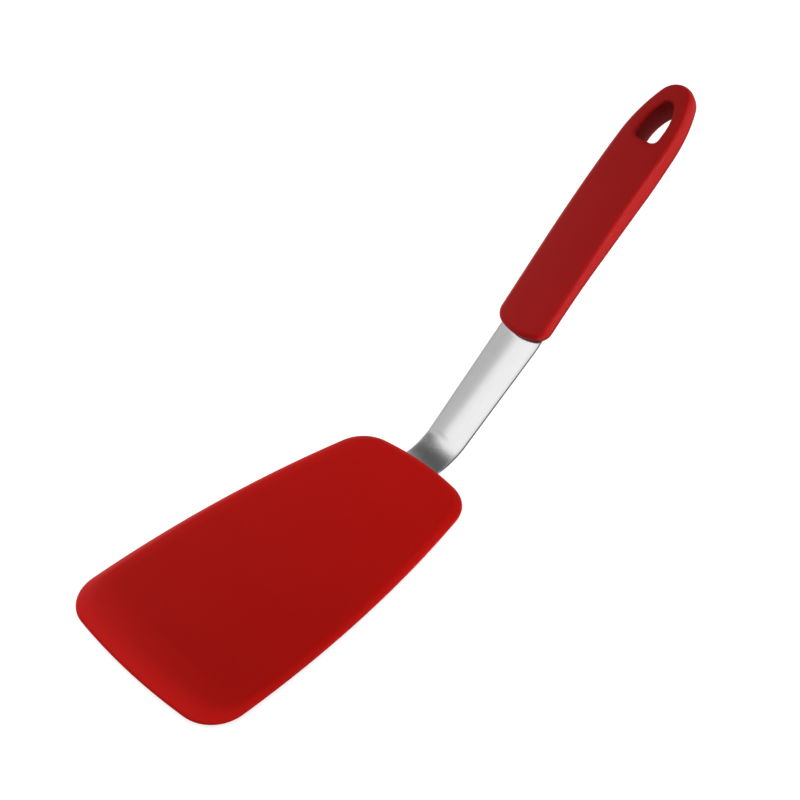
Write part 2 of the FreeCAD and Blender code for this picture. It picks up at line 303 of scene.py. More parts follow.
def circle_through(a, b, c):
    """Centre and radius of the circle through three points in the plane."""
    a, b, c = Vector(a), Vector(b), Vector(c)
    d = 2 * (a.x * (b.y - c.y) + b.x * (c.y - a.y) + c.x * (a.y - b.y))
    aa, bb, cc = a.length_squared, b.length_squared, c.length_squared
    x = (aa * (b.y - c.y) + bb * (c.y - a.y) + cc * (a.y - b.y)) / d
    y = (aa * (c.x - b.x) + bb * (a.x - c.x) + cc * (b.x - a.x)) / d
    centre = Vector((x, y))
    return centre, (a - centre).length


def rounded_corner(first, second, radius, near):
    """Centre of a corner round inside two circles, and where it meets each of them."""
    (c1, r1), (c2, r2) = first, second
    r1, r2 = r1 - radius, r2 - radius
    gap = c2 - c1
    along = (gap.length_squared + r1 * r1 - r2 * r2) / (2 * gap.length)
    across = math.sqrt(r1 * r1 - along * along)
    way = gap.normalized()
    found = [c1 + way * along + way.orthogonal() * across * sign for sign in (1, -1)]
    centre = min(found, key=lambda p: (p - Vector(near)).length)
    meets = [c + (centre - c).normalized() * (r + radius) for c, r in ((c1, r1), (c2, r2))]
    return centre, meets[0], meets[1]


def smooth(value, start=0, end=1):
    """A soft step from zero at a start to one at an end."""
    value = min(max((value - start) / (end - start), 0), 1)
    return value * value * (3 - 2 * value)


def quarter_turns(count):
    """Even angles over a quarter turn, with both its ends."""
    return [math.pi / 2 * i / count for i in range(count + 1)]


def new_object(name, data):
    """An object in the scene that shows a mesh, a lamp or a camera."""
    made = bpy.data.objects.new(name, data)
    bpy.context.scene.collection.objects.link(made)
    return made


def new_piece(name, verts, faces, replaced):
    """A smooth mesh object that rides on the body and stands for one node of the frame."""
    mesh = bpy.data.meshes.new(name)
    mesh.from_pydata([tuple(v) for v in verts], [], faces)
    mesh.validate()
    shape = bmesh.new()
    shape.from_mesh(mesh)
    bmesh.ops.recalc_face_normals(shape, faces=shape.faces)
    shape.to_mesh(mesh)
    shape.free()
    mesh.shade_smooth()
    piece = new_object(name, mesh)
    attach(piece, BODY)
    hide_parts(replaced)
    return piece


def ring_faces(first, second, count):
    """Quads between two closed rings of the same count."""
    pairs = [(i, (i + 1) % count) for i in range(count)]
    return [(first + i, first + j, second + j, second + i) for i, j in pairs]


def stack_faces(total, count):
    """Quads between the rings of a stack, and a face over each of its ends."""
    faces = []
    for i in range(total - 1):
        faces += ring_faces(i * count, (i + 1) * count, count)
    ends = (range(count), range((total - 1) * count, total * count))
    return faces + [tuple(end) for end in ends]


def store(piece, name, values, kind="FLOAT"):
    """A value for every vertex, for the finish to read."""
    attribute = piece.data.attributes.new(name, kind, "POINT")
    key = "value" if kind == "FLOAT" else "vector"
    for item, value in zip(attribute.data, values):
        setattr(item, key, value)


class Socket:
    """A shader value that can be written into plain sums."""

    def __init__(self, tree, output):
        self.tree = tree
        self.output = output

    def math(self, operation, first, second):
        """Adds a Math node on two values."""
        node = self.tree.nodes.new("ShaderNodeMath")
        node.operation = operation
        for place, value in zip(node.inputs, (first, second)):
            if isinstance(value, Socket):
                self.tree.links.new(value.output, place)
            else:
                place.default_value = value
        return Socket(self.tree, node.outputs[0])

    def __add__(self, other):
        return self.math("ADD", self, other)

    def __radd__(self, other):
        return self.math("ADD", other, self)

    def __mul__(self, other):
        return self.math("MULTIPLY", self, other)

    def __rmul__(self, other):
        return self.math("MULTIPLY", other, self)


class Nodes:
    """A tree of shader nodes, built up one node at a time."""

    def __init__(self, tree):
        self.tree = tree

    def node(self, kind, settings=None, sockets=None, output=0):
        """Adds a node: its settings first, then the values or links of its sockets."""
        node = self.tree.nodes.new(kind)
        for key, value in (settings or {}).items():
            if key == "stops":
                ramp = node.color_ramp.elements
                while len(ramp) < len(value):
                    ramp.new(1)
                for stop, (place, shade) in zip(ramp, value):
                    stop.position = place
                    stop.color = (shade, shade, shade, 1)
            else:
                setattr(node, key, value)
        for key, value in (sockets or {}).items():
            if isinstance(value, Socket):
                self.tree.links.new(value.output, node.inputs[key])
            else:
                node.inputs[key].default_value = value
        return Socket(self.tree, node.outputs[output])

    def seen(self):
        """One on the way from the camera, from a mirror or through glass."""
        path = "ShaderNodeLightPath"
        direct = self.node(path, output="Is Camera Ray") + self.node(path, output="Is Glossy Ray")
        return direct + self.node(path, output="Is Transmission Ray")

    def show(self, lit, seen, output):
        """Ends the tree in two shaders: one that lights the piece and one that is seen."""
        mixed = self.node("ShaderNodeMixShader", None, {0: self.seen(), 1: lit, 2: seen})
        self.tree.links.new(mixed.output, self.tree.nodes[output].inputs["Surface"])


class Finish(Nodes):
    """One material, built up from nodes."""

    def __init__(self, name, **constants):
        self.material = bpy.data.materials.new(name)
        self.material.use_nodes = True
        super().__init__(self.material.node_tree)
        self.shader = self.tree.nodes["Principled BSDF"]
        for socket, value in constants.items():
            self.shader.inputs[socket.replace("_", " ")].default_value = value

    def place(self):
        """The point on the piece, in the frame's metres."""
        return self.node("ShaderNodeTexCoord", output="Object")

    def stored(self, name, output="Fac"):
        """A value stored on the mesh."""
        return self.node("ShaderNodeAttribute", {"attribute_name": name}, output=output)

    def stretched(self, vector, scale):
        """A place scaled along each axis."""
        return self.node("ShaderNodeVectorMath", {"operation": "MULTIPLY"}, {0: vector, 1: scale})

    def noise(self, vector, scale=1.0, detail=2.0, rough=0.5):
        """Soft grey noise about one half."""
        sockets = {"Vector": vector, "Scale": scale, "Detail": detail, "Roughness": rough}
        return self.node("ShaderNodeTexNoise", None, sockets, "Fac")

    def ramp(self, value, *stops):
        """A value carried through a run of grey stops."""
        return self.node("ShaderNodeValToRGB", {"stops": stops}, {"Fac": value})

    def mix(self, factor, first, second):
        """A mix of two colours, each a socket or red, green and blue."""
        a, b = [shade if isinstance(shade, Socket) else (*shade, 1) for shade in (first, second)]
        return self.node("ShaderNodeMix", {"data_type": "RGBA"}, {"Factor": factor, 6: a, 7: b}, 2)

    def shaded(self, factor, plain, start, end):
        """One colour, from one share of its light to another."""
        return self.mix(factor, scaled(plain, start), scaled(plain, end))

    def bump(self, height, strength, distance, under=None):
        """A small relief over the surface."""
        sockets = {"Height": height, "Strength": strength, "Distance": distance}
        if under:
            sockets["Normal"] = under
        return self.node("ShaderNodeBump", None, sockets, "Normal")

    def feed(self, **links):
        """Links values to the shader's own sockets."""
        for socket, value in links.items():
            self.tree.links.new(value.output, self.shader.inputs[socket.replace("_", " ")])

    def give(self, piece):
        """Puts the material on a piece, in place of any other."""
        piece.data.materials.clear()
        piece.data.materials.append(self.material)


def scaled(plain, factor):
    """A colour made lighter or darker."""
    return tuple(channel * factor for channel in plain)


def blade_finish(finish):
    """Satin silicone with a fine moulded grain; a painted glow lightens the thin rims, so the thick middle
    is deeper, and painted shade darkens the red towards the front.
    """
    made = Finish("blade_silicone", Specular_IOR_Level=finish.blade_gloss, IOR=SILICONE_IOR)
    place = made.place()
    clouds = made.noise(place, scale=26.0, detail=3.0)
    grain = made.noise(place, scale=2600.0, rough=0.6)
    specks = made.noise(place, scale=620.0, detail=3.0, rough=0.7)
    swell = made.noise(place, scale=90.0, detail=1.0)
    # Painted shade: the stored share darkens the red towards the front and less on the left, mixed with
    # random clouds.
    spread = 0.75 * made.stored("reach") + 0.25 * clouds
    plain = made.shaded(spread, finish.blade_red, start=1.1, end=0.84)
    speckling = made.ramp(specks, (0.62, 0.0), (0.8, 0.16))
    speckled = made.mix(speckling, plain, scaled(finish.blade_red, 1.25))
    # Painted glow: the thin rims are lightened to the rim's red.
    base = made.mix(made.stored("thin"), speckled, finish.rim_glow_red)
    roughness = finish.blade_roughness - 0.05 + 0.06 * clouds + 0.05 * grain
    relief = made.bump(grain, strength=0.12, distance=GRAIN_RELIEF)
    waves = made.bump(swell, strength=0.06, distance=WAVE_RELIEF, under=relief)
    made.feed(Base_Color=base, Roughness=roughness, Normal=waves)
    return made


def grip_finish(finish):
    """Soft silicone of the grip, with painted shade that darkens it in the hole, underneath and towards
    the tail.
    """
    made = Finish("grip_silicone", Specular_IOR_Level=finish.grip_gloss, IOR=SILICONE_IOR)
    place = made.place()
    clouds = made.noise(place, scale=38.0, detail=3.0)
    grain = made.noise(place, scale=3000.0, rough=0.6)
    specks = made.noise(place, scale=700.0, detail=3.0, rough=0.7)
    plain = made.shaded(clouds, finish.grip_red, start=0.94, end=1.06)
    speckling = made.ramp(specks, (0.62, 0.0), (0.8, 0.14))
    speckled = made.mix(speckling, plain, scaled(finish.grip_red, 1.3))
    deep = made.stored("deep")
    # Painted shade: the stored share darkens the grip's red in the hole, underneath and towards the tail.
    base = made.mix(deep, speckled, scaled(finish.grip_red, 0.6))
    roughness = finish.grip_roughness - 0.05 + 0.06 * clouds + 0.05 * grain + 0.3 * deep
    relief = made.bump(grain, strength=0.14, distance=GRAIN_RELIEF)
    made.feed(Base_Color=base, Roughness=roughness, Normal=relief)
    return made


def steel_finish(finish):
    """Polished strip: fine lines along it, a few soft rubs, a haze at the bend, and painted shade that
    darkens its rounded edges.
    """
    made = Finish("shank_steel", Metallic=1.0)
    way = made.stored("along", "Vector")
    lines = made.noise(made.stretched(way, (25.0, 5200.0, 1.0)), detail=3.0, rough=0.6)
    coarse = made.noise(made.stretched(way, (9.0, 900.0, 1.0)))
    rubs = made.noise(made.place(), scale=55.0, detail=4.0, rough=0.6)
    plain = made.shaded(lines, finish.steel_grey, start=0.93, end=1.07)
    rubbing = made.ramp(rubs, (0.5, 0.0), (0.75, 0.3))
    rubbed = made.mix(rubbing, plain, scaled(finish.steel_grey, 0.9))
    # Painted shade: the strip's rounded edges are darkened.
    edge = made.stored("edge")
    base = made.mix(edge, rubbed, scaled(finish.steel_grey, 0.2))
    polish = finish.steel_roughness - 0.06 + 0.05 * lines + 0.04 * coarse + 0.06 * rubs
    roughness = polish + 0.25 * edge + 0.14 * made.stored("bend")
    relief = made.bump(lines, strength=0.06, distance=LINE_RELIEF)
    made.feed(Base_Color=base, Roughness=roughness, Normal=relief)
    return made


def plate_finish(finish):
    """Rolled spring steel of the plate inside the blade."""
    made = Finish("plate_steel", Metallic=1.0)
    rolled = made.noise(made.stretched(made.place(), (40.0, 2400.0, 40.0)), detail=3.0)
    base = made.shaded(rolled, finish.plate_grey, start=0.88, end=1.1)
    made.feed(Base_Color=base, Roughness=0.32 + 0.16 * rolled)
    return made


def core_finish(finish):
    """Moulded black core inside the grip."""
    made = Finish("core_plastic", Specular_IOR_Level=0.4)
    grain = made.noise(made.place(), scale=1800.0, detail=3.0, rough=0.6)
    base = made.shaded(grain, finish.core_black, start=0.8, end=1.25)
    relief = made.bump(grain, strength=0.2, distance=CORE_RELIEF)
    made.feed(Base_Color=base, Roughness=0.5 + 0.15 * grain, Normal=relief)
    return made


def blade_ring(blade, front_inset, side_inset, back_inset, corner_radius):
    """The blade's outline, drawn in from its edges, with the back edge at zero."""
    front = front_inset - blade.length
    back = -back_inset
    half_front = blade.front_width / 2 - side_inset
    half_back = blade.back_width / 2 - side_inset
    half_middle = (half_front + half_back) / 2 + blade.side_bow
    front_corner = front + blade.front_bow
    back_corner = back - blade.back_bow
    middle = (front_corner + back_corner) / 2
    corners = [(front_corner, -half_front), (front_corner, half_front)]
    corners += [(back_corner, half_back), (back_corner, -half_back)]
    after = corners[1:] + corners[:1]
    middles = [(front, 0), (middle, half_middle), (back, 0), (middle, -half_middle)]
    edges = [circle_through(*points) for points in zip(corners, middles, after)]
    pairs = zip(edges, edges[1:] + edges[:1], after)
    rounds = [rounded_corner(first, second, corner_radius, near) for first, second, near in pairs]
    outline = Outline()
    for i, (centre, start, end) in enumerate(rounds):
        outline.arc(edges[i][0], rounds[i - 1][2], start, EDGE_POINTS[i])
        outline.arc(centre, start, end, CORNER_POINTS)
    return outline.points


def blade_levels(blade):
    """Rings of the upper half: insets, corner radius, height and share of the bevel's width."""
    half = blade.thickness / 2
    low = blade.rim_thickness / 2 - blade.rim_round
    levels = [(0, 0, 0), (blade.parting_ridge, 0, blade.parting_ridge * 2)]
    for i in range(RIM_RINGS + 1):
        turn = RIM_TURN * i / RIM_RINGS
        inset = blade.parting_ridge + blade.rim_round * (1 - math.cos(turn))
        levels.append((inset, 0, low + blade.rim_round * math.sin(turn)))
    start_inset, _, start_height = levels[-1]
    for i in range(1, BEVEL_RINGS + 1):
        width = i / BEVEL_RINGS
        rise = 1 - (1 - width) ** blade.bevel_power
        levels.append((start_inset, width, start_height + (half - start_height) * rise))
    bevels = (blade.front_bevel, blade.side_bevel, blade.back_bevel)
    rings = []
    for inset, width, height in levels:
        insets = [inset + (bevel - inset) * width for bevel in bevels]
        rim_radius = blade.corner_radius - inset
        radius = rim_radius + (blade.bevel_corner_radius - rim_radius) * width
        rings.append((*insets, radius, height, width))
    return rings


def blade_painted_light(blade, point, width):
    """How much painted shade darkens the red towards the front, less on the left, and how much painted
    glow lights the rim: most on the left.
    """
    reach, side = -point.x / blade.length, point.y / blade.front_width
    left = smooth(side, -0.5, 0.5)
    right = smooth(-side, *RIGHT_RIM_SHARES) * smooth(reach, *RIGHT_END_SHARES)
    across = 1 - smooth(width) * (BEVEL_LOSS - LEFT_GLOW * left)
    glow = smooth(reach, 0, GLOW_START_SHARE) * across * (1 - RIGHT_LOSS * right)
    return reach * (1 - LEFT_PAINTED_LIGHT * left), glow


def build_blade(blade):
    """The blade: rings over the rim and the bevels and across both flat faces."""
    shift = cad_box[0][0] + blade.length
    middle = blade.thickness / 2
    rings = blade_levels(blade)
    verts, thin, reach = [], [], []

    def add(points, z, width=None):
        """A ring at a height; the flat faces have no bevel width and get no painted rim glow."""
        for p in points:
            painted_shade_level, glow = blade_painted_light(blade, p, width or 0)
            verts.append(Vector((p.x + shift, p.y, z)))
            reach.append(painted_shade_level)
            thin.append(0.0 if width is None else glow)

    stack = [(ring, -1) for ring in rings[:0:-1]] + [(ring, 1) for ring in rings]
    flat = blade_ring(blade, *rings[-1][:4])
    centre = Vector(((flat[0].x + flat[len(flat) // 2].x) / 2, 0))
    shrinks = [1 - i / FLAT_RINGS for i in range(1, FLAT_RINGS)]
    inner = [[centre + (p - centre) * shrink for p in flat] for shrink in shrinks]
    for points in inner[::-1]:
        add(points, 0)
    for (front, side, back, radius, height, width), sign in stack:
        add(blade_ring(blade, front, side, back, radius), middle + sign * height, width)
    for points in inner:
        add(points, blade.thickness)
    faces = stack_faces(len(verts) // len(flat), len(flat))
    piece = new_piece("turner_blade", verts, faces, "silicone_blade")
    # Painted glow on the thin rims, for the finish to read.
    store(piece, "thin", thin)
    # Painted shade that darkens the red towards the front, for the finish to read.
    store(piece, "reach", reach)
    return piece


def strip_route(shank):
    """Stations along the strip's underside: place, slope and half width."""
    back = cad_box[0][0] + bpy.context.scene.turner_blade.length
    pitch = bpy.context.scene.turner_grip.pitch
    half_neck, half_top, half_tang = shank.neck_width / 2, shank.top_width / 2, shank.tang_width / 2
    stations = []

    def widen(x):
        """Half width, which grows from the neck to the grip."""
        reach = shank.bend_radius * math.sin(shank.rise) + shank.run * math.cos(shank.rise)
        return half_neck + (half_top - half_neck) * min(max((x - back) / reach, 0), 1)

    def walk(place, slope, distance, count, turn=0.0, width=widen):
        """Adds stations along a straight or an evenly bent run."""
        for _ in range(count):
            if turn:
                radius = distance / turn
                centre = place + heading(slope).orthogonal() * radius
                slope += turn / count
                place = centre - heading(slope).orthogonal() * radius
            else:
                place = place + heading(slope) * (distance / count)
            stations.append((place, slope, width(place.x)))
        return place, slope

    place = Vector((back - shank.tongue, shank.seat))
    corner = shank.tongue_corner
    for turn in quarter_turns(STRIP_CORNER_STEPS):
        step = corner * (1 - math.cos(turn))
        stations.append((place + Vector((step, 0)), 0.0, half_neck - corner * (1 - math.sin(turn))))
    count = STRIP_STEPS
    lean = pitch - shank.rise
    place = place + Vector((corner, 0))
    place, slope = walk(place, 0.0, shank.tongue - corner + shank.bend_gap, count["tongue"])
    place, slope = walk(place, slope, shank.bend_radius * shank.rise, count["bend"], shank.rise)
    place, slope = walk(place, slope, shank.run, count["run"])
    place, slope = walk(place, slope, shank.tang_bend_radius * lean, count["tang_bend"], lean)
    nose = place
    place, slope = walk(place, slope, shank.tang_setback, count["setback"], width=lambda x: half_top)
    forward = heading(slope)
    shoulder = shank.edge_radius / 4
    place = place + forward * shoulder
    stations.append((place, slope, half_tang))
    corner = shank.tang_corner
    place, slope = walk(place, slope, shank.tang_length - corner, count["tang"], width=lambda x: half_tang)
    for turn in quarter_turns(STRIP_CORNER_STEPS)[1:]:
        half = half_tang - corner * (1 - math.cos(turn))
        stations.append((place + forward * corner * math.sin(turn), slope, half))
    return stations, nose, slope


def strip_section(shank, half):
    """Points round the strip's section, across and up, with smoothed edges and a domed top."""
    def crown(y):
        """Height of the domed top."""
        fall = shank.dome_radius - math.sqrt(shank.dome_radius ** 2 - y * y)
        return shank.thickness - fall

    radius = min(shank.edge_radius, half / 2)
    inner = half - radius
    top = crown(inner)
    turns = quarter_turns(STRIP_EDGE_STEPS)
    section = [(inner * (2 * i / STRIP_UNDER_STEPS - 1), 0.0) for i in range(STRIP_UNDER_STEPS)]
    section += [(inner + radius * math.sin(a), radius * (1 - math.cos(a))) for a in turns]
    section += [(inner + radius * math.cos(a), top - radius * (1 - math.sin(a))) for a in turns]
    for i in range(1, STRIP_TOP_STEPS + 1):
        y = inner * (1 - 2 * i / STRIP_TOP_STEPS)
        section.append((y, crown(y)))
    section += [(-inner - radius * math.sin(a), top - radius * (1 - math.cos(a))) for a in turns[1:]]
    section += [(-inner - radius * math.cos(a), radius * (1 - math.sin(a))) for a in turns[:-1]]
    return section


def build_shank(shank):
    """The whole strip from the tongue in the blade to the tang in the grip."""
    stations = strip_route(shank)[0]
    verts, along, edge, bend = [], [], [], []
    travelled = 0.0
    before = stations[0][0]
    for place, slope, half in stations:
        travelled += (place - before).length
        before = place
        up = heading(slope).orthogonal()
        for y, height in strip_section(shank, half):
            point = place + up * height
            verts.append(Vector((point.x, y, point.y)))
            along.append((travelled, y, height))
            # Painted shade that darkens the rounded edges.
            edge.append(smooth((abs(y) - half) / shank.edge_radius, *PAINTED_EDGE_SHADE_SHARES))
            bend.append(1 - smooth(slope / shank.rise, *BEND_HAZE_SHARES))
    faces = stack_faces(len(stations), len(verts) // len(stations))
    piece = new_piece("turner_shank", verts, faces, "shank")
    store(piece, "along", along, "FLOAT_VECTOR")
    store(piece, "edge", edge)
    store(piece, "bend", bend)
    return piece


class GripForm:
    """Turns places on the straightened grip into places in the frame."""

    def __init__(self, grip, shank):
        nose, pitch = strip_route(shank)[1:]
        self.grip = grip
        self.along = heading(pitch)
        self.up = self.along.orthogonal()
        self.nose = nose + self.up * (shank.thickness / 2)
        self.arch_radius = grip.arch_length / math.sin(grip.tail_lean)
        self.arch_run = self.arch_radius * grip.tail_lean
        self.total = grip.nose_length + self.arch_run + grip.tail_run

    def top(self, s):
        """Point of the top in the grip's side view, and how far it leans there."""
        grip = self.grip
        turn = min(max((s - grip.nose_length) / self.arch_radius, 0), grip.tail_lean)
        centre = Vector((grip.nose_length, grip.top_height - self.arch_radius))
        point = centre + Vector((math.sin(turn), math.cos(turn))) * self.arch_radius
        past = s - grip.nose_length - self.arch_radius * turn
        return point + Vector((math.cos(turn), -math.sin(turn))) * past, turn

    def underside(self, x):
        """Height of the underside in the side view: level, bent, then straight."""
        grip = self.grip
        lean = grip.tail_lean
        tail, _ = self.top(grip.nose_length + self.arch_run)
        tail = tail - Vector((math.sin(lean), math.cos(lean))) * grip.tail_thickness
        corner = tail.x - (-grip.nose_depth - tail.y) / math.tan(lean)
        reach = corner - grip.level_length
        radius = reach / math.tan(lean / 2)
        if x < grip.level_length:
            return -grip.nose_depth
        if x < corner + reach * math.cos(lean):
            return -grip.nose_depth - radius + math.sqrt(radius ** 2 - (x - grip.level_length) ** 2)
        return -grip.nose_depth - (x - corner) * math.tan(lean)

    def depth(self, s):
        """Thickness of the grip square to its top."""
        point, turn = self.top(s)
        thick = self.grip.tail_thickness
        for _ in range(DEPTH_ROUNDS):
            thick = (point.y - self.underside(point.x - thick * math.sin(turn))) / math.cos(turn)
        return thick

    def place(self, s, y, fall):
        """Point in the frame at a place along and across the grip and a depth under its top."""
        point, turn = self.top(s)
        point = point - Vector((math.sin(turn), math.cos(turn))) * fall
        flat = self.nose + self.along * point.x + self.up * point.y
        return Vector((flat.x, y, flat.y))


def narrowing_strip(outline, left, corner, half, start, run, tip_radius, count):
    """A strip's left corner and side, its narrowing end, and its right side and corner."""
    tip = start + run
    side_radius = (run ** 2 + half ** 2 - 2 * run * tip_radius) / (2 * (half - tip_radius))
    side_centre = Vector((start, half - side_radius))
    tip_centre = Vector((tip - tip_radius, 0))
    meet = tip_centre + (tip_centre - side_centre).normalized() * tip_radius
    outline.arc(corner, left, (corner.x, half), count["corner"])
    outline.line((corner.x, half), (start, half), count["side"])
    outline.arc(side_centre, (start, half), meet, count["taper"])
    outline.arc(tip_centre, meet, (tip, 0), count["tip"])
    outline.arc(tip_centre, (tip, 0), mirrored(meet), count["tip"])
    outline.arc(mirrored(side_centre), mirrored(meet), (start, -half), count["taper"])
    outline.line((start, -half), (corner.x, -half), count["side"])
    outline.arc(mirrored(corner), (corner.x, -half), mirrored(left), count["corner"])


def grip_outline(grip, total):
    """The grip seen from above: a bowed nose, straight sides and a narrowing tail."""
    half, radius = grip.width / 2, grip.nose_corner
    bow = (grip.nose_bow ** 2 + half ** 2) / (2 * grip.nose_bow)
    corner_x = bow - math.sqrt((bow - radius) ** 2 - (half - radius) ** 2)
    centre, corner = Vector((bow, 0)), Vector((corner_x, half - radius))
    left = centre + (corner - centre).normalized() * bow
    taper = total - grip.taper_length
    outline = Outline()
    outline.arc(centre, mirrored(left), left, GRIP_POINTS["start"])
    narrowing_strip(outline, left, corner, half, taper, grip.taper_length, grip.tail_radius, GRIP_POINTS)
    return outline


def hole_outline(grip, start):
    """The hang hole seen from above: a straight base and an arch that points to the tail."""
    half, radius = grip.hole_width / 2, grip.hole_corner
    left, corner = Vector((start, half - radius)), Vector((start + radius, half - radius))
    spring = start + grip.hole_straight
    outline = Outline()
    outline.line(mirrored(left), left, HOLE_POINTS["start"])
    narrowing_strip(outline, left, corner, half, spring, grip.hole_arch, grip.hole_tip, HOLE_POINTS)
    return outline


def inside(point, polygon):
    """Whether a point in the plane lies inside a closed run of points."""
    within = False
    for a, b in zip(polygon, polygon[1:] + polygon[:1]):
        crosses = (a.y > point.y) != (b.y > point.y)
        if crosses and point.x < a.x + (b.x - a.x) * (point.y - a.y) / (b.y - a.y):
            within = not within
    return within


def rounding(radius, inset):
    """How far a rounded edge falls away at a distance in from the wall."""
    short = max(radius - inset, 0)
    return radius - math.sqrt(max(radius * radius - short * short, 0))


class GripShell:
    """Collects the grip's points and faces."""

    def __init__(self, grip, shank):
        self.grip = grip
        self.form = GripForm(grip, shank)
        self.outer = grip_outline(grip, self.form.total)
        self.hole = hole_outline(grip, grip.nose_length + self.form.arch_run + grip.hole_gap)
        self.verts = []
        self.faces = []
        self.deep = []

    def crown(self, point):
        """How far the gently domed top falls at a place across the grip."""
        return self.grip.crown * (2 * point.y / self.grip.width) ** 2

    def soften(self, point):
        """How many times taller the upper edges are rounded towards the tail."""
        return 1 + TAIL_SOFTENING * smooth(point.x / self.form.total, *SOFT_TAIL_SHARES)

    def edge_distance(self, point):
        """How far a point lies in from the outer wall."""
        points = self.outer.points
        best = self.form.total
        for a, b in zip(points, points[1:] + points[:1]):
            way = b - a
            reach = min(max((point - a).dot(way) / way.length_squared, 0), 1)
            best = min(best, (point - a - way * reach).length)
        return best

    def under(self, point):
        """Depth of the underside below the top, rounded further towards the tail."""
        tail = smooth(point.x / self.form.total, *ROUND_TAIL_SHARES)
        radius = self.grip.under_round * (1 + TAIL_ROUNDING * tail)
        return self.form.depth(point.x) - rounding(radius, self.edge_distance(point))

    def add(self, point, depth, deep=0.0):
        """A vertex at a depth under the top, with its painted shade, which grows towards the tail."""
        self.verts.append(self.form.place(point.x, point.y, depth))
        self.deep.append(max(deep, TAIL_PAINTED_SHADE * point.x / self.form.total))

    def painted_shade_level(self, inset, upside, lip):
        """How much painted shade darkens a wall's red: most high in the hole, and much underneath."""
        if lip:
            wall = smooth(1 - inset / (2 * lip))
            under = (UNDER_PAINTED_SHADE - LOWER_LIP_PAINTED_SHADE / 2) * smooth(inset / lip)
            return wall if upside else LOWER_LIP_PAINTED_SHADE * wall + under
        turned = math.sqrt(inset / (UNDER_TURN_SHARE * self.grip.under_round))
        return 0.0 if upside else UNDER_PAINTED_SHADE * min(1, WALL_FOOT_SHARE + turned)

    def wall(self, outline, steps, way, lip=0.0):
        """Rings down a wall; returns where the first and the last ring start."""
        count, first = len(outline.points), len(self.verts)
        for inset, fall, upside in steps:
            deep = self.painted_shade_level(inset, upside, lip)
            for p in outline.moved_in(inset * way):
                depth = self.crown(p) + fall * self.soften(p) if upside else self.under(p) - fall
                self.add(p, depth, deep)
        for i in range(len(steps) - 1):
            self.faces.extend(ring_faces(first + i * count, first + (i + 1) * count, count))
        return first, len(self.verts) - count

    def cap(self, border, lip, starts, insets, upside):
        """Triangles between the outer ring and the ring round the hole."""
        numbers = [start + i for start, ring in zip(starts, (border, lip)) for i in range(len(ring))]
        points = border + lip
        tries = [p for inset in insets for p in self.outer.moved_in(inset)[::2]]
        for i in range(int(self.form.total / CAP_STEP)):
            for j in range(int(self.grip.width / CAP_STEP) + 1):
                tries.append(Vector(((i + 0.5) * CAP_STEP, j * CAP_STEP - self.grip.width / 2)))
        for p in tries:
            room = min((p - q).length for q in points)
            if room > CAP_STEP * CAP_ROOM_SHARE and inside(p, border) and not inside(p, lip):
                numbers.append(len(self.verts))
                if upside:
                    self.add(p, self.crown(p))
                else:
                    self.add(p, self.under(p), UNDER_PAINTED_SHADE)
                points.append(p)
        loops = [(i, (i + 1) % len(border)) for i in range(len(border))]
        loops += [(len(border) + i, len(border) + (i + 1) % len(lip)) for i in range(len(lip))]
        flat, _, triangles, origins, _, _ = delaunay_2d_cdt(points, loops, [], 1, CAP_TOLERANCE)
        for triangle in triangles:
            middle = sum((flat[i] for i in triangle), Vector((0, 0))) / 3
            if inside(middle, border) and not inside(middle, lip):
                self.faces.append(tuple(numbers[origins[i][0]] for i in triangle))


def upper_steps(radius, turns):
    """Steps down a rounded upper edge: inset, fall, and whether the fall is from the top."""
    return [(radius * (1 - math.sin(a)), radius * (1 - math.cos(a)), True) for a in quarter_turns(turns)]


def build_grip(grip, shank):
    """The grip: a rounded outer wall, a lipped hang hole, and a top and an underside between."""
    shell = GripShell(grip, shank)
    edge, lip = grip.top_round, grip.hole_lip
    steps = upper_steps(edge, WALL_TURNS)
    steps += [(edge * (i / WALL_TURNS) ** 2, 0.0, False) for i in range(WALL_TURNS + 1)]
    outer = shell.wall(shell.outer, steps, 1)
    steps = upper_steps(lip, LIP_TURNS)
    steps += [(lip * (1 - math.cos(a)), lip * (1 - math.sin(a)), False) for a in quarter_turns(LIP_TURNS)]
    hole = shell.wall(shell.hole, steps, -1, lip)
    border, rim = shell.outer.moved_in(edge), shell.hole.moved_in(-lip)
    rings = [edge + (grip.under_round - edge) * i / UNDER_RINGS for i in range(1, UNDER_RINGS + 1)]
    shell.cap(border, rim, (outer[0], hole[0]), (), True)
    shell.cap(border, rim, (outer[1], hole[1]), rings, False)
    piece = new_piece("turner_grip", shell.verts, shell.faces, "handle_grip")
    # The painted shade of the hole, the underside and the tail, for the finish to read.
    store(piece, "deep", shell.deep)
    return piece


def area_lamp(name, power, place, aim, size, spread=math.pi, turn=0.0):
    """A soft rectangular lamp that looks at a point and is turned about the vertical."""
    lamp = bpy.data.lights.new(name, "AREA")
    lamp.shape = "RECTANGLE"
    lamp.size, lamp.size_y = size
    lamp.energy = power
    lamp.spread = spread
    holder = new_object(name, lamp)
    holder.location = place
    holder.rotation_euler = (Vector(aim) - Vector(place)).to_track_quat("-Z", "Y").to_euler()
    holder.rotation_euler.z += turn
    holder.visible_camera = False


def flat_sheet(name, place, size):
    """A level rectangle, centred on a place."""
    x, y = size[0] / 2, size[1] / 2
    mesh = bpy.data.meshes.new(name)
    mesh.from_pydata([(-x, -y, 0), (x, -y, 0), (x, y, 0), (-x, y, 0)], [], [(0, 1, 2, 3)])
    sheet = new_object(name, mesh)
    sheet.location = place
    return sheet


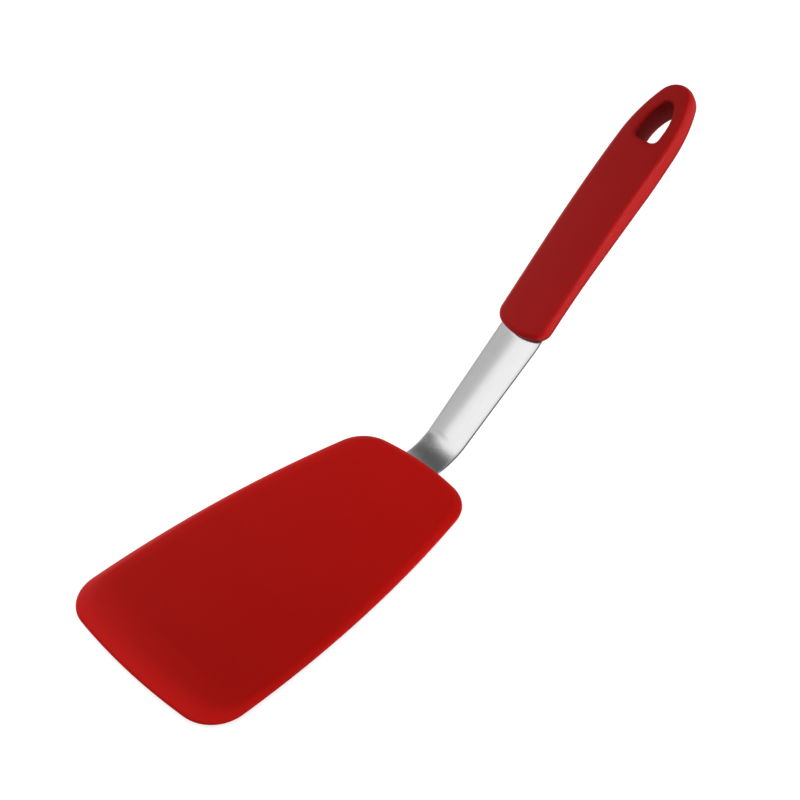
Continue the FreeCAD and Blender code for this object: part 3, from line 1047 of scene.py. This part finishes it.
def stage_panel(name, greys, place, size, glow=0.0):
    """A level studio panel, shaded along its width; one with a glow shines in its greys."""
    panel = flat_sheet(name, place, size)
    panel.rotation_euler.z = STAGE_TURN
    made = Finish(name, Roughness=0.9, Specular_IOR_Level=0.0, Emission_Strength=glow)
    across = made.node("ShaderNodeSeparateXYZ", None, {0: made.place()}, "X") * (1 / size[0]) + 0.5
    shades = made.ramp(across, *greys)
    made.feed(Base_Color=shades, Emission_Color=shades)
    made.give(panel)


def floor_finish(stage):
    """Pale floor: the camera sees it lifted to white, and it keeps the shadow."""
    made = Finish("pale_floor", Roughness=0.8, Specular_IOR_Level=0.0)
    white = (stage.floor_white,) * 3
    fleck = made.noise(made.place(), scale=12.0)
    made.feed(Base_Color=made.shaded(fleck, white, start=0.99, end=1.0))
    plain = Socket(made.tree, made.shader.outputs[0])
    lift = made.node("ShaderNodeEmission", None, {"Strength": stage.floor_lift})
    lifted = made.node("ShaderNodeAddShader", None, {0: plain, 1: lift})
    made.show(plain, lifted, "Material Output")
    return made


def room_finish(stage, world):
    """Even light from all round, seen as plain white."""
    room = Nodes(world.node_tree)
    white = (1, 1, 1, 1)
    even = room.node("ShaderNodeBackground", None, {"Color": white, "Strength": stage.room_light})
    backdrop = room.node("ShaderNodeBackground", None, {"Color": white, "Strength": 1.0})
    room.show(even, backdrop, "World Output")


def build_stage(stage):
    """Floor, room, lamps and camera."""
    scene = bpy.context.scene
    scene.view_settings.view_transform = "Standard"

    floor = flat_sheet("floor", (0, 0, cad_box[0][2] - FLOOR_GAP), (FLOOR_SIZE, FLOOR_SIZE))
    floor_finish(stage).give(floor)

    world = bpy.data.worlds.new("room")
    scene.world = world
    world.use_nodes = True
    room_finish(stage, world)

    area_lamp("top_lamp", stage.top_light, place=(-0.983, -0.052, 1.2), aim=(-0.983, -0.052, 0),
              size=(0.987, 1.83), turn=STAGE_TURN)
    area_lamp("right_lamp", stage.right_light, place=(0.28, -0.56, 0.19), aim=(0.085, 0, 0.06),
              size=(0.3, 0.3), spread=NARROW_SPREAD)
    area_lamp("left_lamp", stage.left_light, place=(0.1, 1.3, 0.45), aim=(0, 0, 0.04), size=(0.6, 0.8))
    stage_panel("corner_panel", CORNER_GREYS, place=(-0.318, 0.7115, 1.2), size=(0.667, 0.17), glow=1.35)
    stage_panel("shade_panel", SHADE_GREYS, place=(0.578, 0.736, 1.22), size=(1.8, 1.14))

    camera = bpy.data.cameras.new("camera")
    camera.lens = stage.lens
    camera.sensor_width = stage.sensor
    holder = new_object("camera", camera)
    holder.location = (stage.camera_x, stage.camera_y, stage.camera_z)
    holder.rotation_euler = (stage.camera_tilt, 0, stage.camera_turn)
    scene.camera = holder


class TURNER_OT_blade(Operator):
    """Builds the silicone blade with its rounded rim and bevels"""

    bl_idname = "turner.blade"
    bl_label = "Build Blade"

    def execute(self, context):
        blade_finish(context.scene.turner_finish).give(build_blade(context.scene.turner_blade))
        return {"FINISHED"}


class TURNER_OT_shank(Operator):
    """Builds the bent steel strip from its tongue to its tang"""

    bl_idname = "turner.shank"
    bl_label = "Build Shank"

    def execute(self, context):
        steel_finish(context.scene.turner_finish).give(build_shank(context.scene.turner_shank))
        return {"FINISHED"}


class TURNER_OT_grip(Operator):
    """Builds the soft grip with its hang hole"""

    bl_idname = "turner.grip"
    bl_label = "Build Grip"

    def execute(self, context):
        scene = context.scene
        grip_finish(scene.turner_finish).give(build_grip(scene.turner_grip, scene.turner_shank))
        return {"FINISHED"}


class TURNER_OT_inner(Operator):
    """Finishes the plate inside the blade and the core inside the grip"""

    bl_idname = "turner.inner"
    bl_label = "Finish Inner Pieces"

    def execute(self, context):
        finish = context.scene.turner_finish
        plate_finish(finish).give(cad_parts["blade_core_plate"])
        core_finish(finish).give(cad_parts["handle_core"])
        return {"FINISHED"}


class TURNER_OT_stage(Operator):
    """Sets up the floor, the lamps and the camera"""

    bl_idname = "turner.stage"
    bl_label = "Set Up Stage"

    def execute(self, context):
        build_stage(context.scene.turner_stage)
        return {"FINISHED"}


class TURNER_PT_panel(Panel):
    """Lists the turner's sizes and the buttons that build it"""

    bl_idname = "TURNER_PT_panel"
    bl_label = "Silicone Turner"
    bl_space_type = "VIEW_3D"
    bl_region_type = "UI"
    bl_category = "Turner"

    def draw(self, context):
        for group, (_, operator) in SETTINGS.items():
            box = self.layout.box()
            settings = getattr(context.scene, group)
            for name in settings.bl_rna.properties.keys():
                if name not in ("rna_type", "name"):
                    box.prop(settings, name)
            box.operator(operator)


SETTINGS = {
    "turner_blade": (BladeSettings, "turner.blade"),
    "turner_shank": (ShankSettings, "turner.shank"),
    "turner_grip": (GripSettings, "turner.grip"),
    "turner_finish": (FinishSettings, "turner.inner"),
    "turner_stage": (StageSettings, "turner.stage"),
}

CLASSES = (
    *(kind for kind, _ in SETTINGS.values()),
    TURNER_OT_blade,
    TURNER_OT_shank,
    TURNER_OT_grip,
    TURNER_OT_inner,
    TURNER_OT_stage,
    TURNER_PT_panel,
)


def register():
    """Adds the classes, and the settings to the scene."""
    for kind in CLASSES:
        bpy.utils.register_class(kind)
    for name, (kind, _) in SETTINGS.items():
        setattr(bpy.types.Scene, name, PointerProperty(type=kind))


def unregister():
    """Takes the settings and the classes away again."""
    for name in SETTINGS:
        delattr(bpy.types.Scene, name)
    for kind in reversed(CLASSES):
        bpy.utils.unregister_class(kind)


def main():
    register()
    bpy.ops.turner.blade()
    bpy.ops.turner.shank()
    bpy.ops.turner.grip()
    bpy.ops.turner.inner()
    bpy.ops.turner.stage()


if __name__ == "__main__":
    main()
